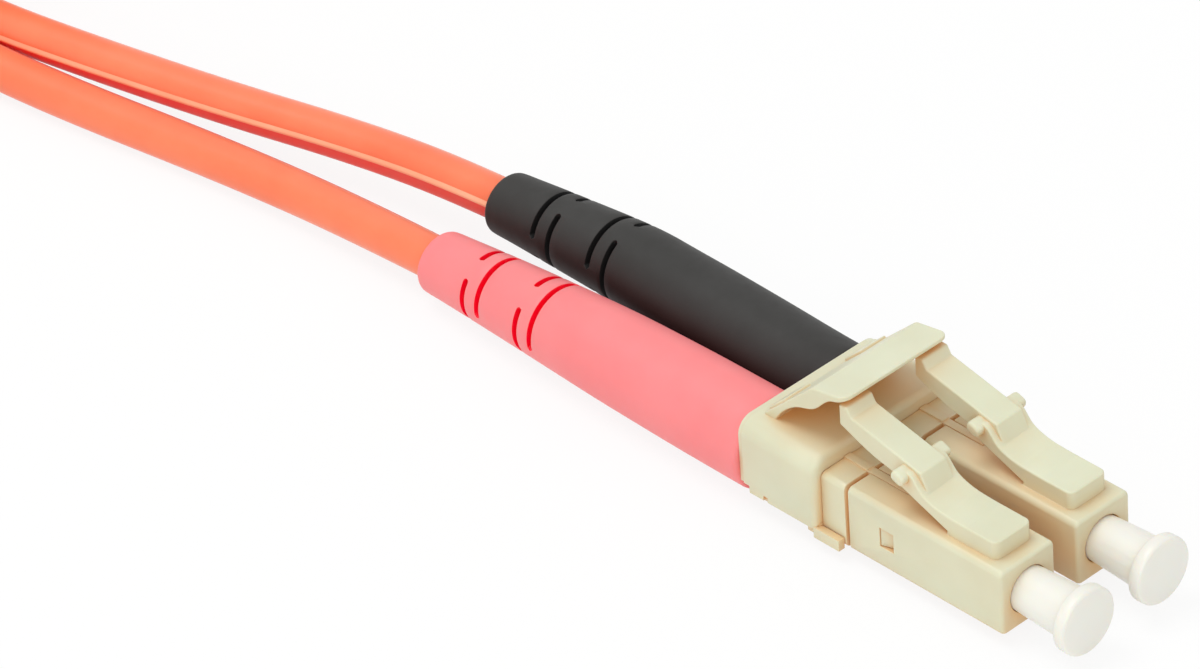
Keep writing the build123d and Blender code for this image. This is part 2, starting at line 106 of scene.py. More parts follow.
# Cord
CABLE_D = 2.8
CORD_RESOLUTION = 8
RED_ROUTE = [
    (-5.025, -3.125, 3.05),
    (-17.5, -3.125, 3.05),
    (-34.5, -3.0, 2.04),
    (-46.0, -3.75, 1.52),
    (-61.0, -6.1, 1.44),
    (-70.5, -7.1, 1.75),
    (-78.6, -7.3, 2.2),
]
BLACK_ROUTE = [
    (-5.025, 3.125, 3.05),
    (-10.8, 3.125, 3.05),
    (-17.0, 3.08, 4.12),
    (-30.5, 2.6, 3.75),
    (-39.5, 1.7, 3.15),
    (-50.0, -0.8, 2.9),
    (-62.0, -3.3, 2.85),
    (-69.0, -4.2, 2.6),
    (-75.9, -4.25, 2.35),
]

# Hank: two loops joined by a narrow waist, wound upwards
HANK_X = -86.9
HANK_Y = 4.2
HANK_RUN = 54.0  # from loop to loop
HANK_BASE = 2.3
HANK_PITCH = 2.9
LOOP_STEPS = 6
LOOP_END = 0.12  # shares of the run where a loop ends and the waist starts
WAIST_START = 0.42
RED_LOOP = (11.5, 4.65)  # half-width at the loops and at the waist
BLACK_LOOP = (8.4, 1.55)
RED_TURNS = 5.0
BLACK_TURNS = 5.55

# Torn web along each leg: angle from +Y towards +Z and height above the jacket, across the ridge
WEB_START = 4.0  # how far inside the boot the ridge starts
WEB_END_X = -74.0
WEB_TWIST = 20.0  # how far the ridge turns from the boot to its end
WEB_CREST = ((163, -0.03), (167, 0.04), (171, 0.15), (174, 0.17), (177, 0.13))
WEB_FLANK = ((177, 0.13), (183, 0.07), (192, 0.04), (208, 0.04), (224, 0.03), (232, -0.05))

# Cut end of a cord: radius and distance past the end, for its jacket, yarn and buffered fibre
END_SECTIONS = (
    ((1.4, -0.1), (1.39, 0.05), (1.32, 0.1), (1.02, 0.1), (1.0, 0.0)),
    ((1.0, 0.0), (0.86, 0.1), (0.66, 0.12), (0.46, 0.05)),
    ((0.46, 0.05), (0.45, 0.55), (0.41, 0.6), (0.0, 0.6)),
)
END_COLUMNS = 48

# Boots: the shape gives radii at distances back from the front
BOOT_SHAPE = ((0.0, 3.05), (6.2, 3.02), (12.8, 2.88), (19.2, 2.57), (25.2, 2.25), (28.9, 2.03))
BOOT_SMOOTH = 2.0  # half-length over which the radii are averaged
BOOT_SAMPLES = 21
BOOT_RIM = 0.4
BOOT_FRONT_RIM = 0.3
RIM_STEPS = 6
BOW_RISE = {"red": 0.0, "black": 0.45}  # upward bow of the boot's front part
BOW_LEN = 24.0
BOOT_COLUMNS = 192
BOOT_ROW = 0.6
BORE_SHOWN = 1.5
FRONT_BORE_R = 2.12
SLIT_W = 0.42
SLIT_DEPTH = 0.62
SLIT_ANGLE = 144
SLIT_PAIRS = (4.25, 9.2)  # boot's rear end to the rear slit of each pair
SLIT_STEP = 1.36
SLIT_TURN = {"red": 31.0, "black": 99.0}
SLIT_REST = 0.1  # share of the width that a slit's rows keep past its ends
SLIT_SHADE_SHARE = 0.5  # share of the depth below which a face takes the slit's painted shade
# Rows across a slit, as shares of its half-width and of its depth
SLIT_SECTION = ((-1.35, 0), (-1.0, 0.07), (-0.88, 1), (0.88, 1), (1.0, 0.07), (1.35, 0))

# Latch, measured back from its hinge and up from the housing's top
PLUG_TOP = 2.26  # housing's top above the plug's axis
SKIN = 0.015  # how far the skin stands off the solid foot
ROOT_LEN = 3.9
ROOT_H = 1.22
ROOT_CORNER = 0.45
ROOT_SUNK = 0.4  # foot's underside in the housing
FOOT_SWEEP = 0.05  # rise of the foot's top along its sweep
SWEEP_START = -1.6
SWEEP_END = 0.1
SWEEP_POINTS = 5
STRAP_W = 3.0
STRAP_LIFT = 0.22  # strap's underside at the hinge
STRAP_RISE = 1.68  # strap's underside at the lugs' catch faces
TAIL_W = 2.16
STEP_BACK = 1.82  # foot of the raised tail's front face
STEP_RISE = 1.76
STEP_LEAN = 0.53
STEP_H = 1.1
LUG_W = 4.12
LUG_BACK = 3.9
LUG_LEN = 1.02
LUG_H = 0.72
LUG_TOP = 2.77
LUG_EDGE = 0.28
LUG_PROUD = 0.08  # lugs above the rounded shoulders
TAIL_LEN = 8.85
TAIL_H = 1.42
TAIL_SAG = 0.2
TIP_RISE = 4.62
LIP_LEN = 0.62
LIP_RAMP = 0.33
LIP_H = 0.56
ARC_STEPS = 4

# Trigger
TRIGGER_FOOT = 0.95
TRIGGER_CORNER = 0.7
TRIGGER_SINK = 0.4  # root's underside in the clip's top
TIP_T = 0.3
BROW_BACK = 2.69
BROW_DROP = 0.47
BROW_R = 0.9
BROW_SPREAD = (1.4, 0.45)  # points of the brow's curve, as shares of its tangent's length
BROW_STEPS = 4
PAD_W = 2.1
PAD_H = 0.16
PAD_FOOT = 0.4
PAD_LEN = 1.9
# Underside from the root to the tip, as shares of the run and of the rise
TRIGGER_WAVE = ((0, 0), (0.076, 0.16), (0.28, 0.41), (0.54, 0.565), (0.796, 0.892), (0.913, 0.95), (1, 1))

# Springs, of round wire
SPRING_WIRE = 0.3
SPRING_TURNS = 4
SPRING_STEPS = 48  # sections to a turn
WIRE_COLUMNS = 10

# Edges
SOFT_ANGLE = 32  # an edge that turns by more than this is rounded
SHARP_ANGLE = 40  # an edge that turns by more than this in the end is shaded sharp
STRAP_EDGE = 0.18
TAIL_EDGE = 0.12
LUG_SIDE_EDGE = 0.2
TRIGGER_EDGE = 0.12
PAD_EDGE = 0.07
NODE_EDGE = 0.07
CORNER_STEPS = 6
EDGE_STEPS = 3
NODE_EDGE_STEPS = 2
LINE_UP = 0.001  # a vertex that lies nearer to a line than this is on it
JOIN_GAP = 0.0001
WELD_GAP = 0.0005
FLAT_ANGLE = 1.0  # neighbouring faces of a node that turn by less than this become one


class Paint:
    """A material with one Principled shader, and short ways to add its texture nodes."""

    def __init__(self, name, roughness):
        self.material = bpy.data.materials.new(name)
        self.material.use_nodes = True
        self.tree = self.material.node_tree
        self.shader = self.tree.nodes["Principled BSDF"]
        self.set("Roughness", roughness)
        self.place = self.node("ShaderNodeTexCoord").outputs["Object"]

    def node(self, kind, **values):
        node = self.tree.nodes.new(kind)
        for key, value in values.items():
            setattr(node, key, value)
        return node

    def set(self, socket, value):
        self.shader.inputs[socket].default_value = value

    def link(self, output, socket):
        self.tree.links.new(output, self.shader.inputs[socket])

    def noise(self, scale, detail):
        noise = self.node("ShaderNodeTexNoise")
        noise.inputs["Scale"].default_value = scale
        noise.inputs["Detail"].default_value = detail
        self.tree.links.new(self.place, noise.inputs["Vector"])
        return noise.outputs["Fac"]

    def blend(self, factor, low, high):
        """Colour from low to high as factor goes from RAMP_START to RAMP_END."""
        ramp = self.node("ShaderNodeValToRGB")
        first, second = ramp.color_ramp.elements
        first.position = RAMP_START
        first.color = (*low, 1)
        second.position = RAMP_END
        second.color = (*high, 1)
        self.tree.links.new(factor, ramp.inputs["Fac"])
        return ramp.outputs["Color"]

    def mix(self, factor, plain, texture):
        """Colour from a plain one to a texture's as factor goes from 0 to 1."""
        mix = self.node("ShaderNodeMix", data_type="RGBA")
        mix.inputs[COLOUR_A].default_value = (*plain, 1)
        self.tree.links.new(factor, mix.inputs["Factor"])
        self.tree.links.new(texture, mix.inputs[COLOUR_B])
        return mix.outputs[COLOUR_OUT]

    def open_sky(self, distance, lean):
        """1 on open surfaces, towards 0 in corners and gaps, where a material's painted shade goes. With
        lean, the floor below counts less.
        """
        shade = self.node("ShaderNodeAmbientOcclusion", samples=8)
        shade.inputs["Distance"].default_value = distance * MM
        leant = self.node("ShaderNodeVectorMath", operation="ADD")
        leant.inputs[1].default_value = (0, 0, lean)
        unit = self.node("ShaderNodeVectorMath", operation="NORMALIZE")
        self.tree.links.new(self.node("ShaderNodeNewGeometry").outputs["Normal"], leant.inputs[0])
        self.tree.links.new(leant.outputs["Vector"], unit.inputs[0])
        self.tree.links.new(unit.outputs["Vector"], shade.inputs["Normal"])
        return shade.outputs["AO"]

    def bump(self, height, strength, distance):
        bump = self.node("ShaderNodeBump")
        bump.inputs["Strength"].default_value = strength
        bump.inputs["Distance"].default_value = distance * MM
        self.tree.links.new(height, bump.inputs["Height"])
        self.link(bump.outputs["Normal"], "Normal")

    def vary_roughness(self, factor, low, high):
        remap = self.node("ShaderNodeMapRange")
        remap.inputs["To Min"].default_value = low
        remap.inputs["To Max"].default_value = high
        self.tree.links.new(factor, remap.inputs["Value"])
        self.link(remap.outputs["Result"], "Roughness")


def moulded(name, light, dark, corner, roughness, subsurface, reach=1.6, shine=0.5, lean=0.0):
    """Moulded plastic: faint clouding, painted shade of another tone in corners and gaps, and a fine grain.
    """
    paint = Paint(name, roughness)
    cloud = paint.blend(paint.noise(PLASTIC_CLOUD, 2), dark, light)
    # painted shade: the corner colour is mixed in where open_sky finds corners and gaps within reach
    shade = paint.open_sky(reach, lean)
    paint.link(paint.mix(shade, corner, cloud), "Base Color")
    paint.set("Subsurface Weight", subsurface)
    paint.set("Subsurface Scale", 0.6 * MM)
    paint.set("Subsurface Radius", (1.0, 0.6, 0.35))
    paint.vary_roughness(paint.noise(PLASTIC_GLOSS, 2), roughness - 0.06, roughness + 0.08)
    paint.set("Specular IOR Level", shine)
    paint.bump(paint.noise(PLASTIC_GRAIN, 2), strength=0.12, distance=0.02)
    return paint.material


def jacket(name, light, dark, corner):
    """Extruded cord jacket: faint clouding, painted shade of another tone in corners and gaps, and a soft
    shine.
    """
    paint = Paint(name, 0.38)
    cloud = paint.blend(paint.noise(JACKET_CLOUD, 3), dark, light)
    # painted shade: the corner colour is mixed in where open_sky finds the jacket closed in
    shade = paint.open_sky(1.5, 0.0)
    paint.link(paint.mix(shade, corner, cloud), "Base Color")
    paint.set("Sheen Weight", 0.45)
    paint.set("Sheen Roughness", 0.3)
    paint.set("Subsurface Weight", 0.15)
    paint.set("Subsurface Scale", 0.5 * MM)
    paint.set("Subsurface Radius", (1.0, 0.35, 0.15))
    paint.vary_roughness(paint.noise(JACKET_GLOSS, 3), 0.32, 0.48)
    paint.bump(paint.noise(JACKET_GRAIN, 3), strength=0.1, distance=0.03)
    return paint.material


def metal(name, light, dark):
    """Plated metal with a faintly uneven shine."""
    paint = Paint(name, 0.3)
    paint.set("Metallic", 1.0)
    paint.link(paint.blend(paint.noise(METAL_CLOUD, 4), dark, light), "Base Color")
    paint.vary_roughness(paint.noise(METAL_GLOSS, 3), 0.22, 0.4)
    paint.bump(paint.noise(METAL_GRAIN, 2), strength=0.08, distance=0.01)
    return paint.material


def strands(name, light, dark):
    """Yarn or woven strap: fine threads."""
    paint = Paint(name, 0.85)
    wave = paint.node("ShaderNodeTexWave", wave_type="BANDS", bands_direction="X")
    wave.inputs["Scale"].default_value = THREADS
    wave.inputs["Distortion"].default_value = 2.0
    wave.inputs["Detail"].default_value = 2.0
    paint.tree.links.new(paint.place, wave.inputs["Vector"])
    paint.link(paint.blend(wave.outputs["Fac"], dark, light), "Base Color")
    paint.bump(wave.outputs["Fac"], strength=0.5, distance=0.08)
    return paint.material


def make_camera():
    azimuth = math.radians(CAMERA_AZIMUTH)
    elevation = math.radians(CAMERA_ELEVATION)
    roll = math.radians(CAMERA_ROLL)
    level = math.cos(elevation)
    back = Vector((math.sin(azimuth) * level, -math.cos(azimuth) * level, math.sin(elevation)))
    right = (-back).cross(Vector((0, 0, 1))).normalized()
    down = (-back).cross(right)
    turned_right = right * math.cos(roll) - down * math.sin(roll)
    turned_down = right * math.sin(roll) + down * math.cos(roll)
    data = bpy.data.cameras.new("camera")
    data.sensor_fit = "HORIZONTAL"
    data.sensor_width = SENSOR_WIDTH
    data.lens = CAMERA_LENS
    data.clip_start = CAMERA_NEAR * MM
    camera = bpy.data.objects.new("camera", data)
    turn = Matrix((turned_right, -turned_down, back)).transposed().to_4x4()
    camera.matrix_world = Matrix.Translation(Vector(CAMERA_PLACE) * MM) @ turn
    bpy.context.collection.objects.link(camera)
    bpy.context.scene.camera = camera


def hank_points(loop, turns):
    """Control points of one cord in the hank, from the near side of its front loop."""
    radius, waist = loop
    outer = radius / math.cos(math.pi / LOOP_STEPS / 2)
    front = HANK_X
    rear = HANK_X - HANK_RUN
    near = [(LOOP_END, -radius), (WAIST_START, -waist), (1 - WAIST_START, -waist), (1 - LOOP_END, -radius)]
    turn = [(front - HANK_RUN * part, side) for part, side in near]
    for step in range(LOOP_STEPS):
        angle = math.pi * (step + 0.5) / LOOP_STEPS
        turn.append((rear - outer * math.sin(angle), -outer * math.cos(angle)))
    turn += [(front - HANK_RUN * part, -side) for part, side in reversed(near)]
    for step in range(LOOP_STEPS):
        angle = math.pi * (step + 0.5) / LOOP_STEPS
        turn.append((front + outer * math.sin(angle), outer * math.cos(angle)))
    points = []
    for index in range(round(turns * len(turn))):
        x, y = turn[index % len(turn)]
        points.append((x, HANK_Y + y, HANK_BASE + HANK_PITCH * index / len(turn)))
    return points


def make_cord(name, route, loop, turns):
    """One leg of the cord, along its route and on into the hank."""
    points = route + hank_points(loop, turns)
    curve = bpy.data.curves.new(name, "CURVE")
    curve.dimensions = "3D"
    curve.bevel_depth = CABLE_D / 2 * MM
    curve.bevel_resolution = CORD_RESOLUTION
    curve.resolution_u = CORD_RESOLUTION
    curve.use_fill_caps = True
    spline = curve.splines.new("NURBS")
    spline.points.add(len(points) - 1)
    for point, place in zip(spline.points, points):
        point.co = (*(Vector(place) * MM), 1)
    spline.order_u = 3
    spline.use_endpoint_u = True
    curve.materials.append(paints["cord"])
    cord = bpy.data.objects.new(name, curve)
    bpy.context.collection.objects.link(cord)
    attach(cord, "pair")
    return cord


def line_of(cord):
    """Points along a cord's smooth middle line, from its start."""
    bare = cord.copy()
    bare.data = cord.data.copy()
    bare.data.bevel_depth = 0
    mesh = bpy.data.meshes.new_from_object(bare)
    points = [vertex.co / MM for vertex in mesh.vertices]
    bpy.data.objects.remove(bare)
    bpy.data.meshes.remove(mesh)
    return points


def centre_at(line, x):
    """Point of a leg's middle line at x, or straight on from its start."""
    for before, after in zip(line, line[1:]):
        if before.x >= x >= after.x:
            return before.lerp(after, (before.x - x) / (before.x - after.x))
    return Vector((x, line[0].y, line[0].z))


def around(angle):
    """Direction across a leg, at an angle from +Y towards +Z."""
    return Vector((0, math.cos(math.radians(angle)), math.sin(math.radians(angle))))


def quarter(steps):
    """Sines and cosines from 0 to 90 degrees."""
    turns = [math.radians(90 * step / steps) for step in range(steps + 1)]
    return [(math.sin(turn), math.cos(turn)) for turn in turns]


def join_rings(shape, rings):
    """Smooth faces between neighbouring rings of vertices."""
    faces = []
    for ring, after in zip(rings, rings[1:]):
        for column in range(len(ring)):
            face = shape.faces.new((ring[column - 1], ring[column], after[column], after[column - 1]))
            face.smooth = True
            faces.append(face)
    return faces


def add_object(name, shape, *materials):
    """Object with a shape's mesh."""
    mesh = bpy.data.meshes.new(name)
    shape.to_mesh(mesh)
    shape.free()
    for material in materials:
        mesh.materials.append(material)
    piece = bpy.data.objects.new(name, mesh)
    bpy.context.collection.objects.link(piece)
    return piece


def boot_radius(back):
    """Boot's radius at a distance back from its front, averaged over a short length."""
    stations, radii = zip(*BOOT_SHAPE)
    window = numpy.linspace(-BOOT_SMOOTH, BOOT_SMOOTH, BOOT_SAMPLES)
    return float(numpy.interp(back + window, stations, radii).mean())


def slit_opening(angle, turn, radius):
    """Half-width of a slit at an angle, and whether it is open there. Its ends are round."""
    away = abs((angle - turn + 90) % 180 - 90)
    inside = math.radians(SLIT_ANGLE / 2 - away) * radius
    if inside <= 0:
        return SLIT_REST * SLIT_W / 2, False
    end = min(inside / (SLIT_W / 2), 1)
    round_end = math.sqrt(1 - (1 - end) ** 2)
    return max(round_end, SLIT_REST) * SLIT_W / 2, True


def boot_rows(length, turn):
    """Rows of a boot from front to rear. Each gives distance back, radius and depth at an angle."""
    slits = []
    for pair in SLIT_PAIRS:
        slits.append((length - pair - SLIT_STEP - SLIT_W / 2, turn + 90))
        slits.append((length - pair - SLIT_W / 2, turn))

    def plain(back, radius):
        return back, lambda angle: (back, radius, 0)

    def across_slit(middle, slit_turn, offset, depth):
        radius = boot_radius(middle)

        def row(angle):
            half, is_open = slit_opening(angle, slit_turn, radius)
            back = middle + offset * half
            sunk = depth if is_open else 0
            return back, boot_radius(back) - SLIT_DEPTH * sunk, sunk

        return middle + offset * SLIT_W / 2, row

    rows = []
    for back in numpy.arange(BOOT_ROW, length - BOOT_RIM, BOOT_ROW):
        if all(abs(back - middle) > SLIT_W for middle, _ in slits):
            rows.append(plain(back, boot_radius(back)))
    for middle, slit_turn in slits:
        rows += [across_slit(middle, slit_turn, offset, depth) for offset, depth in SLIT_SECTION]
    rows.sort(key=lambda row: row[0])

    end_radius = boot_radius(length)
    for sine, cosine in quarter(RIM_STEPS):
        rows.append(plain(length - BOOT_RIM * (1 - sine), end_radius - BOOT_RIM * (1 - cosine)))
    bore = CABLE_D / 2 + SKIN
    rows.append(plain(length, bore))
    rows.append(plain(length - BORE_SHOWN, bore))

    front = [plain(BORE_SHOWN, FRONT_BORE_R), plain(0, FRONT_BORE_R)]
    front_radius = boot_radius(0)
    for sine, cosine in quarter(RIM_STEPS):
        front.append(plain(BOOT_FRONT_RIM * (1 - cosine), front_radius - BOOT_FRONT_RIM * (1 - sine)))
    return [row for _, row in front + rows]


def make_boot(side, line):
    """Smooth boot along its leg, with slits whose deep faces take a material of painted shade."""
    low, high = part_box(f"{side}_boot")
    shape = bmesh.new()
    rings = []
    depths = {}
    for row in boot_rows((high - low).x / MM, SLIT_TURN[side]):
        ring = []
        for column in range(BOOT_COLUMNS):
            angle = 360 * column / BOOT_COLUMNS
            back, radius, sunk = row(angle)
            place = centre_at(line, high.x / MM - back) + around(angle) * radius
            place.z += BOW_RISE[side] * math.sin(math.pi * min(back / BOW_LEN, 1)) ** 2
            vertex = shape.verts.new(place * MM)
            depths[vertex] = sunk
            ring.append(vertex)
        rings.append(ring)
    for face in join_rings(shape, rings):
        # faces deep in a slit take the second material, the slit's painted shade
        face.material_index = int(max(depths[vertex] for vertex in face.verts) > SLIT_SHADE_SHARE)
    bmesh.ops.recalc_face_normals(shape, faces=shape.faces)
    boot = add_object(f"{side}_boot_skin", shape, paints[f"{side}_boot"], paints[f"{side}_slit"])
    boot.data.set_sharp_from_angle(angle=math.radians(SHARP_ANGLE))
    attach(boot, "pair")
    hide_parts(f"{side}_boot")


def make_web(side, line):
    """Ridge of the torn web that joined the two legs, from the boot to where they come together."""
    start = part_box(f"{side}_boot")[0].x / MM + WEB_START
    places = [point for point in line if start > point.x > WEB_END_X]
    turn = 0 if side == "black" else 180
    shape = bmesh.new()
    for index, section in enumerate((WEB_CREST, WEB_FLANK)):
        rows = []
        for before, place, after in zip(places, places[1:], places[2:]):
            twist = WEB_TWIST * ((start - place.x) / (start - WEB_END_X) - 0.5)
            along = (after - before).normalized()
            level = along.cross(Vector((0, 0, 1))).normalized()
            upright = level.cross(along)
            row = []
            for angle, height in section:
                turned = math.radians(angle + twist + turn)
                out = level * math.cos(turned) + upright * math.sin(turned)
                row.append(shape.verts.new((place + out * (CABLE_D / 2 + height)) * MM))
            rows.append(row)
        for row, after in zip(rows, rows[1:]):
            for column in range(len(section) - 1):
                face = shape.faces.new((row[column], row[column + 1], after[column + 1], after[column]))
                # the crest rows take a painted highlight, the flank rows a painted shade
                face.material_index = index
                face.smooth = True
    bmesh.ops.remove_doubles(shape, verts=shape.verts, dist=JOIN_GAP * MM)
    web = add_object(f"{side}_web", shape, paints["web_crest_painted_highlight"], paints["web_flank_painted_shade"])
    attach(web, "pair")
    return web


def make_end(side, line):
    """Cut end of a cord, with its yarn and its buffered fibre."""
    end = line[-1]
    out = (end - line[-2]).normalized()
    across = out.orthogonal().normalized()
    upright = out.cross(across)
    shape = bmesh.new()
    for index, section in enumerate(END_SECTIONS):
        rings = []
        for radius, past in section:
            ring = []
            for column in range(END_COLUMNS):
                turned = 2 * math.pi * column / END_COLUMNS
                outward = across * math.cos(turned) + upright * math.sin(turned)
                ring.append(shape.verts.new((end + out * past + outward * radius) * MM))
            rings.append(ring)
        for face in join_rings(shape, rings):
            face.material_index = index
    bmesh.ops.remove_doubles(shape, verts=shape.verts, dist=JOIN_GAP * MM)
    bmesh.ops.recalc_face_normals(shape, faces=shape.faces)
    piece = add_object(f"{side}_cord_end", shape, paints["cord"], paints["yarn"], paints["buffer"])
    piece.data.set_sharp_from_angle(angle=math.radians(SHARP_ANGLE))
    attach(piece, "pair")
    return piece


def smooth_line(points, steps=8):
    """Points on a smooth curve through the given ones. It leaves and arrives along its end runs."""
    points = [Vector(point) for point in points]
    runs = [after - before for before, after in zip(points, points[1:])]
    slopes = [runs[0].normalized()]
    for before, after in zip(runs, runs[1:]):
        weighted = before.normalized() * after.length + after.normalized() * before.length
        slopes.append(weighted / (before.length + after.length))
    slopes.append(runs[-1].normalized())
    line = [points[0]]
    for index, run in enumerate(runs):
        leave = slopes[index] * run.length
        arrive = slopes[index + 1] * run.length
        for step in range(1, steps + 1):
            t = step / steps
            ease = t * t * (3 - 2 * t)
            sway = leave * (t * (1 - t) ** 2) - arrive * (t * t * (1 - t))
            line.append(points[index] + run * ease + sway)
    return line


def plate(name, outline, width, middle=0.0):
    """Plate whose side view is an outline in X and Z."""
    shape = bmesh.new()
    near = [shape.verts.new((x * MM, (middle - width / 2) * MM, z * MM)) for x, z in outline]
    far = [shape.verts.new((x * MM, (middle + width / 2) * MM, z * MM)) for x, z in outline]
    shape.faces.new(near)
    shape.faces.new(far)
    for index in range(len(outline)):
        shape.faces.new((near[index - 1], near[index], far[index], far[index - 1]))
    bmesh.ops.recalc_face_normals(shape, faces=shape.faces)
    return add_object(name, shape)


def round_corners(piece, x, radius):
    """Rounds the upright edges of a plate at x."""
    shape = bmesh.new()
    shape.from_mesh(piece.data)
    edges = []
    for edge in shape.edges:
        first, second = (vertex.co for vertex in edge.verts)
        at_x = abs(first.x - x * MM) + abs(second.x - x * MM) < 2 * LINE_UP * MM
        if at_x and abs(first.y - second.y) < LINE_UP * MM:
            edges.append(edge)
    bmesh.ops.bevel(
        shape, geom=edges, offset=radius * MM, segments=CORNER_STEPS, profile=0.5, affect="EDGES",
    )
    shape.to_mesh(piece.data)
    shape.free()


def round_edges(piece, radius):
    """Rounds every edge of a plate that turns by more than SOFT_ANGLE."""
    shape = bmesh.new()
    shape.from_mesh(piece.data)
    edges = [edge for edge in shape.edges if edge.calc_face_angle() > math.radians(SOFT_ANGLE)]
    bmesh.ops.bevel(
        shape, geom=edges, offset=radius * MM, segments=EDGE_STEPS, profile=0.5, affect="EDGES",
        clamp_overlap=True,
    )
    for face in shape.faces:
        face.smooth = True
    shape.to_mesh(piece.data)
    shape.free()


def apply_modifiers(piece):
    """Gives a piece the mesh that its modifiers make."""
    graph = bpy.context.evaluated_depsgraph_get()
    mesh = bpy.data.meshes.new_from_object(piece.evaluated_get(graph))
    piece.modifiers.clear()
    piece.data = mesh


def fuse(edges):
    """Rounds plates' edges and joins the plates into the first one's mesh."""
    for plain, edge in edges.items():
        round_edges(plain, edge)
    piece, *others = edges
    for other in others:
        union = piece.modifiers.new("union", "BOOLEAN")
        union.operation = "UNION"
        union.solver = "EXACT"
        union.object = other
    apply_modifiers(piece)
    piece.data.set_sharp_from_angle(angle=math.radians(SHARP_ANGLE))
    even = piece.modifiers.new("even_normals", "WEIGHTED_NORMAL")
    even.keep_sharp = True
    apply_modifiers(piece)
    for other in others:
        bpy.data.objects.remove(other)
    piece.data.materials.clear()
    piece.data.materials.append(paints["housing"])


def make_latch(side):
    """Latch with its foot in one piece, thinned by a notch at the hinge, where the real latch bends."""
    hinge_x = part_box(f"{side}_latch")[1].x / MM
    axis_y = SIDES[side] * PITCH / 2

    def at(back, rise):
        return hinge_x - back, AXIS_Z + PLUG_TOP + rise

    foot_x = -ROOT_LEN - SKIN
    foot_top = ROOT_H + SKIN
    shoulder = (LUG_BACK - LUG_LEN, LUG_TOP)
    foot_line = []
    for share in numpy.linspace(0, 1, SWEEP_POINTS):
        back = SWEEP_START + share * (SWEEP_END - SWEEP_START)
        foot_line.append((back, foot_top + share ** 2 * FOOT_SWEEP))
    swept = smooth_line([*foot_line, (STEP_BACK, STEP_RISE), shoulder, (LUG_BACK, LUG_TOP)])
    notch_r = (STRAP_LIFT + SKIN) / 2
    notch = [(-notch_r * sine, STRAP_LIFT - notch_r * (1 - cosine)) for sine, cosine in quarter(ARC_STEPS)]
    underside = [(LUG_BACK, STRAP_RISE), *notch, (-notch_r, -ROOT_SUNK)]
    side_view = [(foot_x, -ROOT_SUNK), (foot_x, foot_top), *swept, *underside]
    latch = plate(f"{side}_latch_skin", [at(*point) for point in side_view], STRAP_W + 2 * SKIN, axis_y)
    round_corners(latch, at(foot_x, 0)[0], ROOT_CORNER)

    sag = ((TAIL_LEN + LUG_BACK) / 2, (TIP_RISE - TAIL_H + STRAP_RISE) / 2 - TAIL_SAG)
    hollow = smooth_line([(TAIL_LEN, TIP_RISE - TAIL_H), sag, (LUG_BACK - SKIN, STRAP_RISE + SKIN)])
    tail_view = [
        *hollow, (STEP_BACK, (STRAP_LIFT + STEP_RISE) / 2), (STEP_BACK, STEP_RISE),
        (STEP_BACK + STEP_LEAN, STEP_RISE + STEP_H), (TAIL_LEN - LIP_LEN - LIP_RAMP, TIP_RISE - LIP_H),
        (TAIL_LEN - LIP_LEN, TIP_RISE), (TAIL_LEN, TIP_RISE),
    ]
    tail = plate("tail", [at(*point) for point in tail_view], TAIL_W, axis_y)

    slope = math.atan2(STRAP_RISE - STRAP_LIFT, LUG_BACK)
    lug_middle = (LUG_BACK - LUG_LEN / 2, LUG_TOP + LUG_PROUD - LUG_H / 2)
    lug_view = []
    for corner, (along, across) in enumerate(((1, 1), (-1, 1), (-1, -1), (1, -1))):
        for step in range(ARC_STEPS + 1):
            turned = math.radians(90 * corner + 90 * step / ARC_STEPS)
            run = along * (LUG_LEN / 2 - LUG_EDGE) + LUG_EDGE * math.cos(turned)
            rise = across * (LUG_H / 2 - LUG_EDGE) + LUG_EDGE * math.sin(turned)
            back = lug_middle[0] + run * math.cos(slope) - rise * math.sin(slope)
            lug_view.append((back, lug_middle[1] + run * math.sin(slope) + rise * math.cos(slope)))
    lugs = plate("lugs", [at(*point) for point in lug_view], LUG_W, axis_y)
    fuse({latch: STRAP_EDGE, tail: TAIL_EDGE, lugs: LUG_SIDE_EDGE})
    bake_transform(latch)
    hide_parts(f"{side}_latch")


def make_trigger():
    """Trigger plate with its root sunk in the clip's top, where the real trigger bends."""
    low, high = (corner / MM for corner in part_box("trigger"))
    heel = Vector((low.x, low.z))
    root = Vector((low.x + TRIGGER_FOOT, low.z))
    edge = Vector((high.x, high.z))
    tip = Vector((high.x, high.z - TIP_T))
    brow = Vector((high.x - BROW_BACK, high.z - BROW_DROP))
    run = tip - root
    wave = smooth_line([(root.x + u * run.x, root.y + v * run.y) for u, v in TRIGGER_WAVE])
    wave = [point for point in wave if point.x < tip.x - TRIGGER_CORNER - TRIGGER_EDGE] + [tip]
    rise = (brow - heel).normalized()
    fall = (edge - brow).normalized()
    reach = BROW_R * math.tan(rise.angle(fall) / 2)
    bend_in = [brow - rise * reach * share for share in BROW_SPREAD]
    bend_out = [brow + fall * reach * share for share in reversed(BROW_SPREAD)]
    bend = smooth_line(bend_in + bend_out, BROW_STEPS)
    sink = Vector((0, TRIGGER_SINK))
    side_view = [root - sink, *wave, edge, *reversed(bend), heel, heel - sink]
    trigger = plate("trigger_skin", side_view, high.y - low.y)
    round_corners(trigger, high.x, TRIGGER_CORNER)
    out = Vector((-rise.y, rise.x)) * PAD_H
    foot = heel + rise * PAD_FOOT
    top = foot + rise * PAD_LEN
    pad_view = [foot - out, top - out, top + out, foot + out]
    pads = [plate(f"pad_{side}", pad_view, PAD_W, SIDES[side] * PITCH / 2) for side in SIDES]
    fuse({trigger: TRIGGER_EDGE} | {pad: PAD_EDGE for pad in pads})
    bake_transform(trigger)
    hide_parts("trigger")


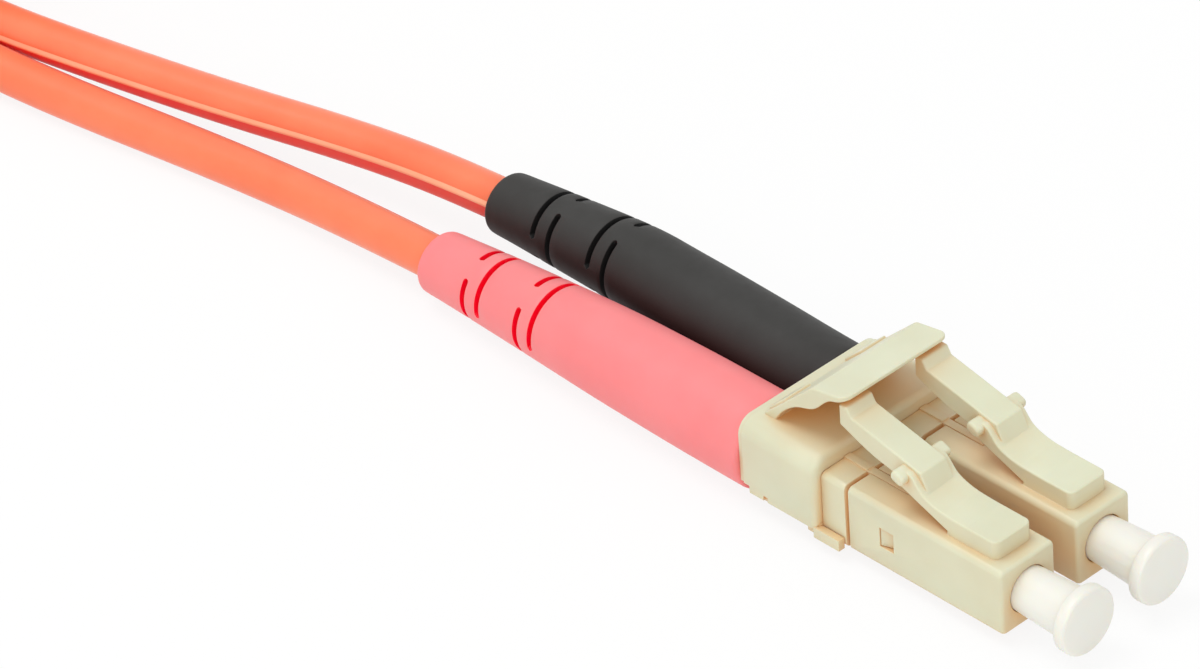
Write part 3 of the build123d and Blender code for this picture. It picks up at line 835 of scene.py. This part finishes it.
def make_spring(side):
    """Coil spring in the CAD spring's place; the real one shortens as its ferrule is pushed in."""
    low, high = (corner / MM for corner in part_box(f"{side}_spring"))
    middle = (low + high) / 2
    radius = (high.y - low.y - SPRING_WIRE) / 2
    start = low.x + SPRING_WIRE / 2
    rise = high.x - low.x - SPRING_WIRE
    count = SPRING_TURNS * SPRING_STEPS
    shape = bmesh.new()
    rings = []
    for step in range(count + 1):
        turned = 2 * math.pi * step / SPRING_STEPS
        outward = Vector((0, math.cos(turned), math.sin(turned)))
        centre = Vector((start + rise * step / count, middle.y, middle.z)) + outward * radius
        ring = []
        for column in range(WIRE_COLUMNS):
            angle = 2 * math.pi * column / WIRE_COLUMNS
            across = outward * math.cos(angle) + Vector((math.sin(angle), 0, 0))
            ring.append(shape.verts.new((centre + across * SPRING_WIRE / 2) * MM))
        rings.append(ring)
    join_rings(shape, rings)
    shape.faces.new(rings[0])
    shape.faces.new(rings[-1])
    bmesh.ops.recalc_face_normals(shape, faces=shape.faces)
    spring = add_object(f"{side}_spring_coil", shape, paints["metal"])
    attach(spring, "pair")
    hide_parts(f"{side}_spring")
    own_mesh(spring)


def soften(node):
    """Modifiers that round a CAD node's sharp edges a little."""
    weld = node.modifiers.new("weld", "WELD")
    weld.merge_threshold = WELD_GAP * MM
    flat = node.modifiers.new("flat", "DECIMATE")
    flat.decimate_type = "DISSOLVE"
    flat.angle_limit = math.radians(FLAT_ANGLE)
    bevel = node.modifiers.new("soft_edges", "BEVEL")
    bevel.width = NODE_EDGE * MM
    bevel.segments = NODE_EDGE_STEPS
    bevel.limit_method = "ANGLE"
    bevel.angle_limit = math.radians(SOFT_ANGLE)
    bevel.harden_normals = True


def dress_cad_nodes():
    """Materials for every CAD node, and softened edges on the moulded ones."""
    slots = {part["node"]: part["material_slot"] for part in frame["record"]["subparts"]}
    for name, node in nodes.items():
        node.data.materials.clear()
        node.data.materials.append(paints[slots[name]])
        if slots[name] in ("housing", "cap"):
            node.data.polygons.foreach_set("use_smooth", [True] * len(node.data.polygons))
            soften(node)


def background_ray(tree):
    """1 for rays that show the background, straight or by reflection or through a clear piece."""
    path = tree.nodes.new("ShaderNodeLightPath")
    shown = path.outputs["Is Camera Ray"]
    for kind in ("Is Glossy Ray", "Is Transmission Ray"):
        either = tree.nodes.new("ShaderNodeMath")
        either.operation = "MAXIMUM"
        tree.links.new(shown, either.inputs[0])
        tree.links.new(path.outputs[kind], either.inputs[1])
        shown = either.outputs["Value"]
    return shown


def make_floor():
    """Pale floor that looks white and keeps the part's shadow."""
    half = FLOOR_HALF * MM
    corners = [(-half, -half, 0), (half, -half, 0), (half, half, 0), (-half, half, 0)]
    mesh = bpy.data.meshes.new("floor")
    mesh.from_pydata(corners, [], [(0, 1, 2, 3)])
    floor = bpy.data.objects.new("floor", mesh)
    bpy.context.collection.objects.link(floor)
    material = bpy.data.materials.new("floor")
    material.use_nodes = True
    tree = material.node_tree
    tree.nodes.clear()
    diffuse = tree.nodes.new("ShaderNodeBsdfDiffuse")
    diffuse.inputs["Color"].default_value = FLOOR_COLOUR
    glow = tree.nodes.new("ShaderNodeEmission")
    glow.inputs["Strength"].default_value = 1.0
    share = tree.nodes.new("ShaderNodeMath")
    share.operation = "MULTIPLY"
    share.inputs[1].default_value = FLOOR_GLOW
    mix = tree.nodes.new("ShaderNodeMixShader")
    output = tree.nodes.new("ShaderNodeOutputMaterial")
    tree.links.new(background_ray(tree), share.inputs[0])
    tree.links.new(share.outputs["Value"], mix.inputs["Fac"])
    tree.links.new(diffuse.outputs["BSDF"], mix.inputs[1])
    tree.links.new(glow.outputs["Emission"], mix.inputs[2])
    tree.links.new(mix.outputs["Shader"], output.inputs["Surface"])
    mesh.materials.append(material)


def make_lamp(name, place, size, power):
    """Round soft lamp that faces the part."""
    data = bpy.data.lights.new(name, "AREA")
    data.shape = "DISK"
    data.size = size * MM
    data.energy = power
    lamp = bpy.data.objects.new(name, data)
    lamp.location = Vector(place) * MM
    lamp.rotation_euler = (-Vector(place)).to_track_quat("-Z", "Y").to_euler()
    bpy.context.collection.objects.link(lamp)


def make_world():
    """White sky."""
    world = bpy.data.worlds.new("world")
    world.use_nodes = True
    tree = world.node_tree
    background = tree.nodes["Background"]
    background.inputs["Color"].default_value = (1, 1, 1, 1)
    strength = tree.nodes.new("ShaderNodeMapRange")
    strength.inputs["To Min"].default_value = SKY_LIGHT
    strength.inputs["To Max"].default_value = SKY_SHOWN
    tree.links.new(background_ray(tree), strength.inputs["Value"])
    tree.links.new(strength.outputs["Result"], background.inputs["Strength"])
    bpy.context.scene.world = world


make_camera()

# Every corner colour below is painted shade, which open_sky mixes into corners, gaps and spots beside other
# parts
paints = {
    # painted shade: warm brown in the housing's recesses and gaps, for shade and warm bounced light; lean
    # keeps the floor from darkening the undersides
    "housing": moulded(
        "beige plastic", light=(0.715, 0.73, 0.54), dark=(0.675, 0.675, 0.485), corner=(0.8, 0.4, 0.12),
        roughness=0.42, subsurface=0.15, reach=3.4, lean=0.7,
    ),
    # painted shade: a warm grey in the caps' corners
    "cap": moulded(
        "white plastic", light=(0.85, 0.845, 0.78), dark=(0.82, 0.81, 0.74), corner=(0.78, 0.7, 0.56),
        roughness=0.35, subsurface=0.3,
    ),
    # painted shade: a deeper red in the red boot's corners, kept light beside the clip
    "red_boot": moulded(
        "red boot", light=(0.95, 0.255, 0.26), dark=(0.92, 0.23, 0.235), corner=(0.95, 0.2, 0.205),
        roughness=0.5, subsurface=0.25,
    ),
    # painted shade: the red boot's slits are a deep saturated red, and the black boot's a near black, for
    # the shade inside them
    "red_slit": moulded(
        "red slit shade", light=(1.0, 0.0, 0.04), dark=(0.98, 0.0, 0.035), corner=(0.97, 0.0, 0.03),
        roughness=0.6, subsurface=1.0,
    ),
    "black_slit": moulded(
        "black slit shade", light=(0.006, 0.006, 0.005), dark=(0.004, 0.004, 0.004), corner=(0.002, 0.002, 0.002),
        roughness=0.7, subsurface=0.0,
    ),
    # painted highlight: the crest is a pale peach, lighter than the jacket
    "web_crest_painted_highlight": moulded(
        "torn web crest painted highlight", light=(0.98, 0.43, 0.25), dark=(0.95, 0.34, 0.18), corner=(0.95, 0.25, 0.12),
        roughness=0.3, subsurface=0.2,
    ),
    # painted shade: the flank under the crest is a deep saturated red
    "web_flank_painted_shade": moulded(
        "torn web flank painted shade", light=(1.0, 0.085, 0.05), dark=(1.0, 0.07, 0.04), corner=(1.0, 0.05, 0.03),
        roughness=0.5, subsurface=1.0,
    ),
    # painted shade and painted reflection: over a wide reach the lower part darkens to a red-brown, the red
    # standing for the red boot reflected there
    "black_boot": moulded(
        "black boot", light=(0.037, 0.036, 0.034), dark=(0.029, 0.028, 0.026), corner=(0.016, 0.001, 0.0005),
        roughness=0.58, subsurface=0.0, reach=5.5, shine=0.3,
    ),
    # painted shade: a greyer tone in the ferrules' corners
    "ceramic": moulded(
        "ceramic", light=(0.9, 0.9, 0.87), dark=(0.86, 0.86, 0.83), corner=(0.7, 0.68, 0.62),
        roughness=0.15, subsurface=0.2,
    ),
    # painted shade: a darker tone in the buffer's corners
    "buffer": moulded(
        "fibre buffer", light=(0.88, 0.87, 0.82), dark=(0.8, 0.79, 0.74), corner=(0.5, 0.48, 0.4),
        roughness=0.4, subsurface=0.2,
    ),
    "metal": metal("plated metal", light=(0.75, 0.74, 0.72), dark=(0.6, 0.592, 0.576)),
    "yarn": strands("aramid yarn", light=(0.8, 0.6, 0.12), dark=(0.55, 0.38, 0.05)),
    "tie": strands("woven tie", light=(0.03, 0.03, 0.03), dark=(0.01, 0.01, 0.01)),
    # painted shade: a deeper red-orange where the legs close each other in
    "cord": jacket(
        "orange jacket", light=(0.98, 0.228, 0.1), dark=(0.93, 0.185, 0.074), corner=(0.95, 0.13, 0.04),
    ),
}

red_cord = make_cord("red_cord", RED_ROUTE, RED_LOOP, RED_TURNS)
black_cord = make_cord("black_cord", BLACK_ROUTE, BLACK_LOOP, BLACK_TURNS)
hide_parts("red_cable")
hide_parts("black_cable", "cable_hank")
red_line = line_of(red_cord)
black_line = line_of(black_cord)
make_boot("red", red_line)
make_boot("black", black_line)
red_web = make_web("red", red_line)
black_web = make_web("black", black_line)
red_end = make_end("red", red_line)
black_end = make_end("black", black_line)
for side in SIDES:
    make_latch(side)
    make_spring(side)
make_trigger()
dress_cad_nodes()
make_floor()
make_world()
for name, (place, size, power) in LAMPS.items():
    make_lamp(name, place, size, power)
bpy.context.scene.view_settings.view_transform = "Standard"
